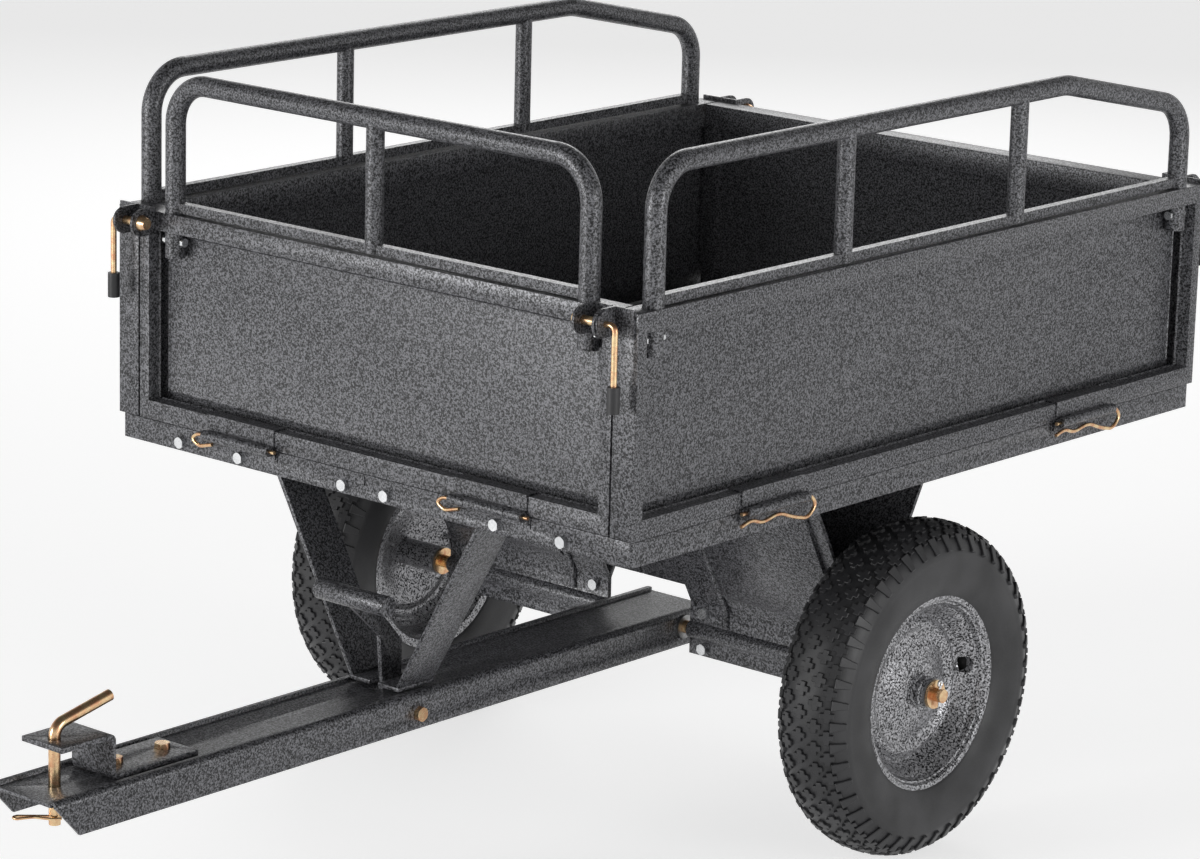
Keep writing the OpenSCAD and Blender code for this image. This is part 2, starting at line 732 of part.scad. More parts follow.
bush_od = axle_d + 8;
module tongue_channel() {
    length = tongue_reach + axle_y + tongue_tail;
    color(steel) placed() difference() {
        translate([0, axle_y + tongue_tail, tongue_z]) rotate([90, 0, 0])
            linear_extrude(length) tongue_section();
        translate([0, -tongue_reach, tongue_z]) along_x(-tongue_w, tongue_w)
            polygon([[-1, -1], [nose_cut, -1], [0, tongue_h - 7], [-1, tongue_h - 7]]);
        translate([0, axle_y, axle_z]) rod_x(-tongue_w, tongue_w, bush_od);
        translate([0, pedal_y, pedal_z]) rod_x(-tongue_w, tongue_w, pedal_bolt_d + 0.2);
        translate([0, pin_y, tongue_z]) cylinder(h = 100, d = pin_d + 2 * pin_clear);
        for (y = hitch_bolt_ys) translate([0, y, tongue_z]) cylinder(h = 100, d = 10.4);
        translate([-slot_half, pedal_slot_y, tongue_z + 20])
            cube([2 * slot_half, pedal_slot_l, tongue_h]);
    }
}
pedal_slot_y = 18;
pedal_slot_l = 56;

// Bushes in the tongue's flanges run on the axle
module tongue_bushes() {
    color("gray") placed() translate([0, axle_y, axle_z]) both_x() difference() {
        union() {
            rod_x(tongue_w / 2 - tongue_t - 5, tongue_w / 2 + 2, bush_od - 0.1);
            rod_x(tongue_w / 2, tongue_w / 2 + 3, bush_od + 5);
        }
        rod_x(0, tongue_w, axle_d + 2 * run_clear);
    }
}

hitch_back_y = pin_y + 60;
hitch_bolt_ys = [hitch_back_y + 28, hitch_back_y + 98];
hitch_bend = 9;
hitch_len = 128;
// Z-shaped plate: its upper arm is over the pin, its lower arm is bolted to the tongue
module hitch_plate() {
    t = hitch_t;
    y0 = -tongue_reach + 28;
    y1 = hitch_back_y;
    color(steel) placed() difference() {
        along_x(-hitch_w / 2, hitch_w / 2) union() {
            translate([y0, hitch_top - t]) square([y1 - y0 - hitch_bend, t]);
            translate([y1 - hitch_bend, hitch_top - hitch_bend]) corner(hitch_bend, t, 0);
            translate([y1 - t, web_top + hitch_bend])
                square([t, hitch_top - web_top - 2 * hitch_bend]);
            translate([y1 - t + hitch_bend, web_top + hitch_bend]) corner(hitch_bend, t, 180);
            translate([y1 - t + hitch_bend, web_top]) square([hitch_len - hitch_bend, t]);
        }
        translate([0, pin_y, hitch_top - 2 * t]) cylinder(h = 3 * t, d = pin_d + 2 * pin_clear);
        for (y = hitch_bolt_ys) translate([0, y, web_top - t])
            cylinder(h = 3 * t, d = 10.4);
    }
}

// Quarter ring in the first quadrant, turned by a
module corner(r, t, a) {
    rotate(a) intersection() {
        difference() { circle(r); circle(r - t); }
        square(r + 1);
    }
}

module hitch_bolts() {
    color(zinc) placed() for (y = hitch_bolt_ys) translate([0, y, 0]) {
        translate([0, 0, web_top]) rotate([0, -90, 0])
            bolt_x(-tongue_t, hitch_t, 10, 16);
    }
}

// Hitch pin with a handle bent over towards the cart
handle_len = 82;
handle_deg = 12;
handle_bend = 16;
module hitch_pin() {
    bend_z = hitch_top + 14;
    color(zinc) placed() translate([0, pin_y, 0]) difference() {
        rotate([0, 0, 90]) bent_bar([[0, pin_low], [0, bend_z],
            [handle_len * cos(handle_deg), bend_z + handle_len * sin(handle_deg)]],
            handle_bend, pin_d);
        translate([0, 0, clip_low_z]) rotate([0, 0, 45]) rod_x(-20, 20, clip_wire + 0.3);
    }
}

clip_wire = 3;
wire_bend = 4;
module hitch_clip() {
    r = pin_d / 2 + clip_wire / 2 + 0.2;
    color(zinc) placed() translate([0, pin_y, clip_low_z]) rotate([0, 0, 45]) rotate([90, 0, 0])
        bent_bar([[12, 0], [-40, 0], [-46, 5], [-40, 10], [-22, 3.6], [-4, r + 1.6], [8, r + 0.4]],
            wire_bend, clip_wire);
}

// ---------------------------------------------------------------- foot pedal
module foot_pedal() {
    color(steel) placed() difference() {
        union() {
            along_x(-pedal_t / 2, pedal_t / 2) difference() {
                polygon([[pedal_y - 12, pedal_z - 10], [pedal_y + 12, pedal_z - 10],
                    [62, tongue_top], [62, 266], [pedal_bar_y + 14, pedal_bar_z + 6],
                    [pedal_bar_y, pedal_bar_z], [pedal_bar_y - 6, pedal_bar_z - 10],
                    [26, 278], [31, tongue_top]]);
                translate([pedal_y, pedal_z]) circle(d = pedal_bolt_d + 2 * run_clear);
            }
            translate([0, pedal_bar_y, pedal_bar_z])
                rod_x(-pedal_bar_w / 2, pedal_bar_w / 2, pedal_bar_d);
        }
        translate([0, pedal_bar_y, pedal_bar_z]) both_x()
            rod_x(pedal_t, pedal_bar_w / 2 - 3, pedal_bar_d - 5);
    }
}

module pedal_bolt() {
    color(zinc) placed() translate([0, pedal_y, pedal_z])
        bolt_x(-tongue_w / 2, tongue_w / 2, pedal_bolt_d, 16);
}

spring_wire = 2;
spring_r = pedal_bolt_d / 2 + spring_wire / 2 + 0.3;
spring_turns = 7;
ring_sides = 8;
steps = 14;
function spring_at(i, x0) = let (a = 360 * i / steps)
    [x0 + (spring_wire + 0.4) * i / steps, spring_r * cos(a), spring_r * sin(a)];
module pedal_spring() {
    n = spring_turns * steps;
    x0 = pedal_t / 2 + 2;
    pts = [for (i = [0 : n], j = [0 : ring_sides - 1])
        let (a = 360 * i / steps, b = 360 * j / ring_sides, w = spring_wire / 2)
            spring_at(i, x0) + [w * cos(b), w * sin(b) * cos(a), w * sin(b) * sin(a)]];
    sides = [for (i = [0 : n - 1], j = [0 : ring_sides - 1])
        let (a = i * ring_sides, k = (j + 1) % ring_sides)
            [a + j, a + k, a + ring_sides + k, a + ring_sides + j]];
    caps = [[for (j = [ring_sides - 1 : -1 : 0]) j],
        [for (j = [0 : ring_sides - 1]) n * ring_sides + j]];
    color("silver") placed() translate([0, pedal_y, pedal_z])
        polyhedron(pts, concat(sides, caps), convexity = 8);
}

// ---------------------------------------------------------------- wheels
// Turned pieces: outlines in radius and distance outwards from the wheel's middle plane
module wheel_place(right) {
    placed() mirror([right ? 0 : 1, 0, 0]) translate([track / 2, axle_y, axle_z])
        rotate([0, 90, 0]) children();
}

tread_r = tyre_od / 2;
bead_half = 26.5;
// Half of the tyre's outline, from its bead out to the crown
tyre_side = [[bead_r, bead_half], [bead_r + 6, 31.5], [flange_r, rim_half - 3.1],
    [flange_r + 3.5, 41], [flange_r + 22, tyre_w / 2 - 1], [flange_r + 34, tyre_w / 2],
    [tread_r - 24, tyre_w / 2 - 1], [tread_r - 12, tyre_w / 2 - 6],
    [tread_r - 5, tyre_w / 2 - 14], [tread_r - 1, tyre_w / 2 - 29], [tread_r, 0]];
// Half of the space for the inner tube, g inside the tyre's inner face
function tube_side(g) = let (w = tyre_w / 2 - 9 - g)
    [[bead_r + g, 22 - g], [bead_r + 12, 22 - g], [flange_r + 10, w * 0.9], [flange_r + 34, w],
    [tread_r - 30, w * 0.93], [tread_r - 18 - g, w * 0.6], [tread_r - 15 - g, 0]];
function both_sides(half) = concat(half,
    [for (i = [len(half) - 1 : -1 : 0]) if (half[i][1] > 0) [half[i][0], -half[i][1]]]);

module tyre() {
    rotate_extrude($fn = 128) difference() {
        polygon(both_sides(tyre_side));
        polygon(both_sides(concat([[0, 22]], tube_side(0))));
    }
}
module tyre_left() { color("black") wheel_place(false) tyre(); }
module tyre_right() { color("black") wheel_place(true) tyre(); }

valve_deg = 96;
valve_r = 60;
valve_d = 8;
window_r = 78;                         // window to the valve, longer round the wheel than across
window_half = 3.75;
window_d = 13;
valve_in = -5;                         // valve axis from the wheel's middle plane
tube_wall_t = 3;
// Inner tube with its valve stem through the rim's well
module inner_tube() {
    difference() {
        union() {
            rotate_extrude($fn = 96) polygon(both_sides(tube_side(0.3)));
            rotate([0, 0, valve_deg]) translate([valve_r, 0, valve_in]) rotate([0, 90, 0])
                cylinder(h = bead_r - valve_r + 4, d = valve_d);
        }
        rotate_extrude($fn = 96) polygon(both_sides(tube_side(0.3 + tube_wall_t)));
    }
}
module inner_tube_left() { color("black") wheel_place(false) inner_tube(); }
module inner_tube_right() { color("black") wheel_place(true) inner_tube(); }

rim_t = 2.5;
rim_well = bead_r - 12;
// Outline of one half of the rim's barrel, from the well out to the flange and back
rim_side = let (t = rim_t) [[rim_well, 0], [rim_well, 11], [bead_r, 18], [bead_r, rim_half - t - 8],
    [bead_r + 6, rim_half - t - 3], [flange_r, rim_half - t], [flange_r, rim_half],
    [bead_r + 3, rim_half], [bead_r - t, rim_half - 7], [bead_r - t, 20],
    [rim_well - t, 13], [rim_well - t, 0]];
// Top of the dished disc, from the barrel in to the hub, in radius and distance outwards
disc_line = [[rim_well - rim_t + 0.5, 6], [82, 9], [75, 12], [64, 8], [54, 11], [35, 17.5],
    [hub_d / 2 - 1, 21.5]];
disc_t = 4;

// Rim barrel and dished disc, with the hub tube welded in
module rim() {
    difference() {
        union() {
            rotate_extrude($fn = 128) {
                polygon(rim_side);
                mirror([0, 1]) polygon(rim_side);
                polygon(concat(disc_line, [for (i = [len(disc_line) - 1 : -1 : 0])
                    disc_line[i] - [0, disc_t]]));
            }
            translate([0, 0, -hub_in]) cylinder(h = hub_in + hub_out, d = hub_d);
        }
        translate([0, 0, -hub_in - 1])
            cylinder(h = hub_in + hub_out + 2, r = axle_d / 2 + bush_wall);
        // oblong window to the valve, and the valve's hole in the well
        rotate([0, 0, valve_deg]) {
            for (s = [-1, 1]) translate([window_r, s * window_half, 0])
                cylinder(h = 40, d = window_d, center = true);
            translate([valve_r, 0, valve_in]) rotate([0, 90, 0])
                cylinder(h = bead_r - valve_r, d = valve_d + 0.4);
        }
    }
}
module rim_left() { color(steel) wheel_place(false) rim(); }
module rim_right() { color(steel) wheel_place(true) rim(); }

// Flanged bushes pressed into both ends of the hub
module wheel_bushes() {
    difference() {
        union() {
            translate([0, 0, hub_out - 22]) cylinder(h = 22, r = axle_d / 2 + bush_wall);
            translate([0, 0, hub_out]) cylinder(h = bush_head, d = hub_d - 4);
            translate([0, 0, -hub_in]) cylinder(h = 22, r = axle_d / 2 + bush_wall);
            translate([0, 0, -hub_in - bush_head]) cylinder(h = bush_head, d = hub_d - 4);
        }
        cylinder(h = 200, d = axle_d + 2 * run_clear, center = true);
    }
}
module wheel_bushes_left() { color("gray") wheel_place(false) wheel_bushes(); }
module wheel_bushes_right() { color("gray") wheel_place(true) wheel_bushes(); }

washer_x = hub_out + bush_head + 0.5;
module axle_washers() {
    color(zinc) for (right = [false, true]) wheel_place(right) {
        translate([0, 0, washer_x]) washer();
        translate([0, 0, -hub_in - bush_head - 0.5 - washer_t]) washer();
    }
}
module washer() {
    difference() {
        cylinder(h = washer_t, d = washer_d);
        translate([0, 0, -1]) cylinder(h = washer_t + 2, d = axle_d + 0.04);
    }
}

// A split pin through each end of the axle, with its eye on top
cotter_d = 4;
eye_r = 3;
module cotter_pins() {
    color("silver") placed() for (s = [-1, 1])
        translate([s * (axle_half - cotter_in), axle_y, axle_z]) {
            translate([0, 0, -axle_d / 2 - 5]) cylinder(h = axle_d + 8, d = cotter_d);
            translate([0, 0, axle_d / 2 + 3 + eye_r]) rotate([0, 90, 0])
                rotate_extrude() translate([eye_r, 0]) circle(1.6);
        }
}

floor_pan();
floor_ribs();
axle();
axle_bracket_left();
axle_bracket_right();
strut_left();
strut_right();
strut_yoke();
bed_hinge_knuckles();
hinge_clips();
band_bolts();
bracket_bolts();
axle_washers();
cotter_pins();
tongue_channel();
hitch_plate();
hitch_bolts();
pedal_bolt();
pedal_spring();
tongue_bushes();
hitch_pin();
hitch_clip();
foot_pedal();
tyre_left();
inner_tube_left();
rim_left();
wheel_bushes_left();
tyre_right();
inner_tube_right();
rim_right();
wheel_bushes_right();
front_panel();
front_railing();
front_railing_bolts();
front_hinge_leaves();
front_latch_ears();
front_latch_bushes();
left_panel();
left_railing();
left_railing_bolts();
left_hinge_leaves();
left_latch_ears();
right_panel();
right_railing();
right_railing_bolts();
right_hinge_leaves();
right_latch_ears();
tailgate_panel();
tailgate_hinge_leaves();
tailgate_latch_ears();
tailgate_latch_bushes();
latch_pin_front_left();
latch_grip_front_left();
latch_pin_front_right();
latch_grip_front_right();
latch_pin_rear_left();
latch_grip_rear_left();
latch_pin_rear_right();
latch_grip_rear_right();
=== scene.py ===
"""Looks of a tow-behind dump cart: hammered paint, moulded tyres, spring clips and zinc fittings.

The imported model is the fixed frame. Pieces whose edges need a softer look, or more detail than
the frame holds, are rebuilt here over the node that they stand for. Lengths are in metres.
"""

from __future__ import annotations

import json
import logging
import math
from dataclasses import dataclass, field
from enum import Enum
from typing import Sequence

import bpy
from mathutils import Matrix, Vector


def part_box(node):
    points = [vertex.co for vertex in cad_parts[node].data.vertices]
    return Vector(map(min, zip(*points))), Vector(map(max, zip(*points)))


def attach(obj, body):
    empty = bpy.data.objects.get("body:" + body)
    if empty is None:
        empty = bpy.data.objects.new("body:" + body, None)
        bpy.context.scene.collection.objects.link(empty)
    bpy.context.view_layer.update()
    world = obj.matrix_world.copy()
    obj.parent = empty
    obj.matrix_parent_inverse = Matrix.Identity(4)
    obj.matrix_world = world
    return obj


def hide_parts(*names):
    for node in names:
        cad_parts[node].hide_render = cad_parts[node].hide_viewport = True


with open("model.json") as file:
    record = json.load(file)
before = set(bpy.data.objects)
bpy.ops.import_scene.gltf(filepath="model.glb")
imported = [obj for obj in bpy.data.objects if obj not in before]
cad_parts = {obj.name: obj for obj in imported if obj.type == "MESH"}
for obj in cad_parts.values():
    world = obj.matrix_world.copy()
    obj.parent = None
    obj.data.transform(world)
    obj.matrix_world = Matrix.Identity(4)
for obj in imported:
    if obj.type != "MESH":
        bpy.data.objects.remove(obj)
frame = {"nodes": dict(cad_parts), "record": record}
log = logging.getLogger("cart")
Point = tuple[float, float]
Colour = tuple[float, float, float]
MM = 0.001
NODE_MERGE = 2e-6       # corners of a node's loose faces that are one corner
SPIN_MERGE = 1e-6       # doubled corners where a turned outline closes
FLAT_WITHIN = 0.8       # degrees between faces that count as one flat face
EDGE_ABOVE = 38         # degrees between faces whose edge is rounded
EDGE_STEPS = 2          # faces across a rounded edge
CORNER_STEPS = 6        # straight stretches in one bend of a wire


class Side(Enum):
    """The two sides of the cart, as signs of X."""

    LEFT = -1
    RIGHT = 1


class Edge(Enum):
    """How far the edges of a sheet metal piece are rounded."""

    SHEET = 0.9 * MM
    PRESSED = 2.6 * MM
    FORGED = 1.4 * MM


# ------------------------------------------------------------------ working on the bench
def deselect_all() -> None:
    """Leaves nothing selected, because an operator acts on all that is selected."""
    if bpy.context.object and bpy.context.object.mode != "OBJECT":
        bpy.ops.object.mode_set(mode="OBJECT")
    bpy.ops.object.select_all(action="DESELECT")


def pick_up(piece: bpy.types.Object) -> None:
    """Makes one piece the only selected and active one.

    Args:
        piece: the object to work on.
    """
    deselect_all()
    piece.select_set(True)
    bpy.context.view_layer.objects.active = piece


def settle(piece: bpy.types.Object) -> None:
    """Puts the piece's place into its mesh and its origin at the frame's origin.

    Args:
        piece: the object to settle.
    """
    pick_up(piece)
    bpy.ops.object.transform_apply(location=True, rotation=True, scale=True)
    piece.data.update()


def use_modifier(piece: bpy.types.Object, kind: str, **values: object) -> None:
    """Adds a modifier with these values and applies it.

    Args:
        piece: the object that takes the modifier.
        kind: the modifier's type, such as BEVEL.
        **values: its settings.
    """
    pick_up(piece)
    modifier = piece.modifiers.new(kind.lower(), kind)
    for key, value in values.items():
        setattr(modifier, key, value)
    bpy.ops.object.modifier_apply(modifier=modifier.name)


def smooth(piece: bpy.types.Object, degrees: float) -> None:
    """Shades a piece smooth but for its sharp edges.

    Args:
        piece: the object to shade.
        degrees: the angle above which an edge stays sharp.
    """
    pick_up(piece)
    bpy.ops.object.shade_smooth_by_angle(angle=math.radians(degrees))


def join(pieces: Sequence[bpy.types.Object], name: str) -> bpy.types.Object:
    """Joins pieces into one.

    Args:
        pieces: the objects to join.
        name: the name of the result.

    Returns:
        The joined object.
    """
    deselect_all()
    for piece in pieces:
        piece.select_set(True)
    bpy.context.view_layer.objects.active = pieces[0]
    bpy.ops.object.join()
    pieces[0].name = name
    return pieces[0]


def repeat(pattern: bpy.types.Object, places: Sequence[Matrix]) -> list[bpy.types.Object]:
    """Sets copies of a pattern piece at their places and takes the pattern away.

    Args:
        pattern: the piece that repeats, modelled once.
        places: one matrix for each copy.

    Returns:
        The copies, each with its own mesh.
    """
    copies = []
    for place in places:
        mesh = pattern.data.copy()
        mesh.transform(place)
        copy = bpy.data.objects.new(pattern.name, mesh)
        bpy.context.scene.collection.objects.link(copy)
        copies.append(copy)
    bpy.data.objects.remove(pattern)
    return copies


def softened_copy(node: str, width: float) -> bpy.types.Object:
    """Copies a node's mesh, merges it, and rounds its edges.

    Args:
        node: the CAD node to copy.
        width: how far the rounding reaches from each edge.

    Returns:
        The new object, with its own mesh, which stands for the node.
    """
    piece = bpy.data.objects.new(f"{node}_skin", frame["nodes"][node].data.copy())
    bpy.context.scene.collection.objects.link(piece)
    pick_up(piece)
    bpy.ops.object.mode_set(mode="EDIT")
    bpy.ops.mesh.select_all(action="SELECT")
    bpy.ops.mesh.remove_doubles(threshold=NODE_MERGE)
    bpy.ops.mesh.dissolve_limited(angle_limit=math.radians(FLAT_WITHIN))
    bpy.ops.object.mode_set(mode="OBJECT")
    use_modifier(piece, "BEVEL", width=width, segments=EDGE_STEPS, limit_method="ANGLE",
                 angle_limit=math.radians(EDGE_ABOVE), miter_outer="MITER_ARC")
    smooth(piece, 40)
    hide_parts(node)
    return piece


def lathe(name: str, outline: Sequence[Point], centre: Vector, side: Side,
          steps: int) -> bpy.types.Object:
    """Turns an outline about the axle's line.

    Args:
        name: the name of the piece.
        outline: points as (radius, distance outwards from the centre); it closes on itself.
        centre: the point on the axle that the distances start from.
        side: the side of the cart, which says which way is outwards.
        steps: the number of faces round the piece.

    Returns:
        The turned object.
    """
    places = [centre + Vector((side.value * out, 0, radius)) for radius, out in outline]
    deselect_all()
    bpy.ops.mesh.primitive_plane_add(size=MM, location=places[0])
    piece = bpy.context.object
    piece.name = name
    settle(piece)
    bpy.ops.object.mode_set(mode="EDIT")
    bpy.ops.mesh.select_mode(type="VERT")
    bpy.ops.mesh.select_all(action="SELECT")
    bpy.ops.mesh.merge(type="CENTER")
    for here, there in zip(places, places[1:] + places[:1]):
        bpy.ops.mesh.extrude_region_move(TRANSFORM_OT_translate={"value": there - here})
    bpy.ops.mesh.select_all(action="SELECT")
    bpy.ops.mesh.remove_doubles(threshold=SPIN_MERGE)
    bpy.ops.mesh.spin(steps=steps, angle=math.tau, center=centre, axis=(1, 0, 0))
    bpy.ops.mesh.select_all(action="SELECT")
    bpy.ops.mesh.remove_doubles(threshold=SPIN_MERGE)
    bpy.ops.mesh.normals_make_consistent(inside=False)
    bpy.ops.object.mode_set(mode="OBJECT")
    smooth(piece, 30)
    return piece


def bent_wire(name: str, points: Sequence[Vector], radius: float,
              bend: float) -> bpy.types.Object:
    """Makes a round wire that turns smoothly at each inner point.

    Args:
        name: the name of the piece.
        points: the corners of the wire's path.
        radius: half the wire's thickness.
        bend: how far from a corner its curve starts.

    Returns:
        The wire as a mesh object.
    """
    deselect_all()
    bpy.ops.curve.primitive_nurbs_path_add()
    piece = bpy.context.object
    piece.name = name
    curve = piece.data
    curve.splines.clear()
    path = [points[0]]
    for before, corner, after in zip(points, points[1:], points[2:]):
        shortest = min((corner - before).length, (after - corner).length)
        reach = min(bend, shortest * 0.48)
        start = corner + (before - corner).normalized() * reach
        end = corner + (after - corner).normalized() * reach
        for i in range(CORNER_STEPS + 1):
            t = i / CORNER_STEPS
            path.append(start * (1 - t) ** 2 + corner * 2 * t * (1 - t) + end * t**2)
    path.append(points[-1])
    spline = curve.splines.new("POLY")
    spline.points.add(len(path) - 1)
    for point, place in zip(spline.points, path):
        point.co = (*place, 1.0)
    curve.dimensions = "3D"
    curve.bevel_depth = radius
    curve.bevel_resolution = 4
    curve.use_fill_caps = True
    pick_up(piece)
    bpy.ops.object.convert(target="MESH")
    settle(piece)
    smooth(piece, 50)
    return piece


# ------------------------------------------------------------------ finishes
def new_group(name: str, inputs: dict[str, float], outputs: dict[str, str]) -> bpy.types.NodeTree:
    """Starts a shader node group with a Vector input.

    Args:
        name: the group's name.
        inputs: names and defaults of its number inputs.
        outputs: names and socket types of its outputs.

    Returns:
        The group, with its two ends in place.
    """
    group = bpy.data.node_groups.new(name, "ShaderNodeTree")
    group.interface.new_socket("Vector", in_out="INPUT", socket_type="NodeSocketVector")
    for key, value in inputs.items():
        socket = group.interface.new_socket(key, in_out="INPUT", socket_type="NodeSocketFloat")
        socket.default_value = value
    for key, kind in outputs.items():
        group.interface.new_socket(key, in_out="OUTPUT", socket_type=kind)
    group.nodes.new("NodeGroupInput")
    group.nodes.new("NodeGroupOutput")
    return group


def node_in(tree: bpy.types.NodeTree, kind: str, **values: object) -> bpy.types.Node:
    """Adds a node and sets its properties, or its inputs where a name is an input's.

    Args:
        tree: the node tree.
        kind: the node's type name, without the ShaderNode in front.
        **values: properties, or inputs with underscores for spaces.

    Returns:
        The new node.
    """
    node = tree.nodes.new(f"ShaderNode{kind}")
    for key, value in values.items():
        if hasattr(node, key):
            setattr(node, key, value)
        else:
            node.inputs[key.replace("_", " ")].default_value = value
    return node


def ramp(tree: bpy.types.NodeTree, stops: Sequence[tuple[float, float]]) -> bpy.types.Node:
    """Adds a grey colour ramp.

    Args:
        tree: the node tree.
        stops: positions and grey values.

    Returns:
        The ramp node.
    """
    node = tree.nodes.new("ShaderNodeValToRGB")
    elements = node.color_ramp.elements
    for i, (place, value) in enumerate(stops):
        element = elements[i] if i < 2 else elements.new(place)
        element.position = place
        element.color = (value, value, value, 1)
    return node


def hammer_group() -> bpy.types.NodeTree:
    """Builds the hammered pattern: pale pools of paint in a dark net.

    Returns:
        A group that gives Pools, a mask from 0 to 1, and Height.
    """
    group = new_group("hammered_pattern", {"Scale": 400.0},
                      {"Pools": "NodeSocketFloat", "Height": "NodeSocketFloat"})
    start, end = group.nodes["Group Input"], group.nodes["Group Output"]
    link = group.links.new
    noise = node_in(group, "TexNoise", Detail=1.0, Roughness=0.5, Distortion=0.6)
    link(start.outputs["Vector"], noise.inputs["Vector"])
    link(start.outputs["Scale"], noise.inputs["Scale"])
    pools = ramp(group, [(0.40, 0.0), (0.64, 1.0)])
    link(noise.outputs["Fac"], pools.inputs["Fac"])
    link(pools.outputs["Color"], end.inputs["Pools"])
    link(noise.outputs["Fac"], end.inputs["Height"])
    return group


def scuff_group() -> bpy.types.NodeTree:
    """Builds faint fine marks and a soft drift of tone for rubber and plated steel.

    Returns:
        A group that gives Marks, a mask from 0 to 1, and Height.
    """
    group = new_group("fine_marks", {"Scale": 300.0, "Stretch": 30.0},
                      {"Marks": "NodeSocketFloat", "Height": "NodeSocketFloat"})
    start, end = group.nodes["Group Input"], group.nodes["Group Output"]
    link = group.links.new
    fine = node_in(group, "TexNoise", Detail=3.0, Roughness=0.6)
    broad = node_in(group, "TexNoise", Detail=2.0)
    link(start.outputs["Vector"], fine.inputs["Vector"])
    link(start.outputs["Scale"], fine.inputs["Scale"])
    link(start.outputs["Vector"], broad.inputs["Vector"])
    link(start.outputs["Stretch"], broad.inputs["Scale"])
    mix = node_in(group, "Math", operation="MULTIPLY_ADD")
    mix.inputs[1].default_value = 0.5
    link(fine.outputs["Fac"], mix.inputs[0])
    link(broad.outputs["Fac"], mix.inputs[2])
    marks = ramp(group, [(0.55, 0.0), (0.95, 1.0)])
    link(mix.outputs[0], marks.inputs["Fac"])
    link(marks.outputs["Color"], end.inputs["Marks"])
    link(fine.outputs["Fac"], end.inputs["Height"])
    return group


@dataclass(frozen=True)
class Finish:
    """A finish that runs between two tones over a pattern group."""

    name: str
    group: str
    dark: Colour
    pale: Colour
    roughness: tuple[float, float] = (0.3, 0.5)
    metallic: float = 0.0
    bump: float = 0.2
    depth: float = 0.0003
    scales: dict[str, float] = field(default_factory=dict)
    slot: str = ""

    def mix(self) -> bpy.types.Material:
        """Makes the material.

        Returns:
            A node material that reads Object coordinates.
        """
        material = bpy.data.materials.new(self.name)
        material.use_nodes = True
        tree = material.node_tree
        link = tree.links.new
        shader = tree.nodes["Principled BSDF"]
        shader.inputs["Metallic"].default_value = self.metallic
        where = tree.nodes.new("ShaderNodeTexCoord")
        pattern = tree.nodes.new("ShaderNodeGroup")
        pattern.node_tree = bpy.data.node_groups[self.group]
        for key, value in self.scales.items():
            pattern.inputs[key].default_value = value
        link(where.outputs["Object"], pattern.inputs["Vector"])
        mask = pattern.outputs[0]  # each pattern group's mask comes first, its Height second
        tone = node_in(tree, "Mix", data_type="RGBA")
        tone.inputs["A"].default_value = (*self.dark, 1)
        tone.inputs["B"].default_value = (*self.pale, 1)
        link(mask, tone.inputs["Factor"])
        link(tone.outputs["Result"], shader.inputs["Base Color"])
        rough = node_in(tree, "MapRange")
        rough.inputs["To Min"].default_value = self.roughness[1]
        rough.inputs["To Max"].default_value = self.roughness[0]
        link(mask, rough.inputs["Value"])
        link(rough.outputs["Result"], shader.inputs["Roughness"])
        bump = node_in(tree, "Bump")
        bump.inputs["Strength"].default_value = self.bump
        bump.inputs["Distance"].default_value = self.depth
        link(pattern.outputs["Height"], bump.inputs["Height"])
        link(bump.outputs["Normal"], shader.inputs["Normal"])
        return material


HAMMERED = Finish(
    "hammered_paint", "hammered_pattern", dark=(0.004, 0.004, 0.005), pale=(0.160, 0.161, 0.173),
    roughness=(0.32, 0.42), metallic=0.2, bump=0.45, depth=0.0005, scales={"Scale": 450.0})
HAMMERED_RIM = Finish(
    "hammered_rim", "hammered_pattern", dark=(0.012, 0.012, 0.013), pale=(0.50, 0.50, 0.52),
    roughness=(0.24, 0.34), metallic=0.5, bump=0.5, depth=0.0005, scales={"Scale": 470.0},
    slot=HAMMERED.name)
GOLD_ZINC = Finish(
    "gold_zinc", "fine_marks", dark=(0.58, 0.30, 0.17), pale=(0.80, 0.62, 0.36),
    roughness=(0.20, 0.32), metallic=1.0, bump=0.05, scales={"Stretch": 90.0})
BRIGHT_ZINC = Finish(
    "bright_zinc", "fine_marks", dark=(0.52, 0.53, 0.54), pale=(0.78, 0.79, 0.80),
    roughness=(0.20, 0.33), metallic=1.0, bump=0.05)
PLAIN_STEEL = Finish(
    "plain_steel", "fine_marks", dark=(0.2, 0.2, 0.2), pale=(0.42, 0.42, 0.42),
    roughness=(0.30, 0.45), metallic=1.0, bump=0.08)
TYRE = Finish(
    "tyre_rubber", "fine_marks", dark=(0.009, 0.009, 0.010), pale=(0.021, 0.021, 0.023),
    roughness=(0.40, 0.56), bump=0.12, scales={"Scale": 700.0, "Stretch": 18.0})
TUBE = Finish(
    "tube_rubber", "fine_marks", dark=(0.012, 0.012, 0.012), pale=(0.020, 0.020, 0.020),
    roughness=(0.50, 0.60))
GRIP = Finish(
    "grip_rubber", "fine_marks", dark=(0.010, 0.010, 0.011), pale=(0.020, 0.020, 0.022),
    roughness=(0.40, 0.52), bump=0.1)
FINISHES = (HAMMERED, HAMMERED_RIM, GOLD_ZINC, BRIGHT_ZINC, PLAIN_STEEL, TYRE, TUBE, GRIP)


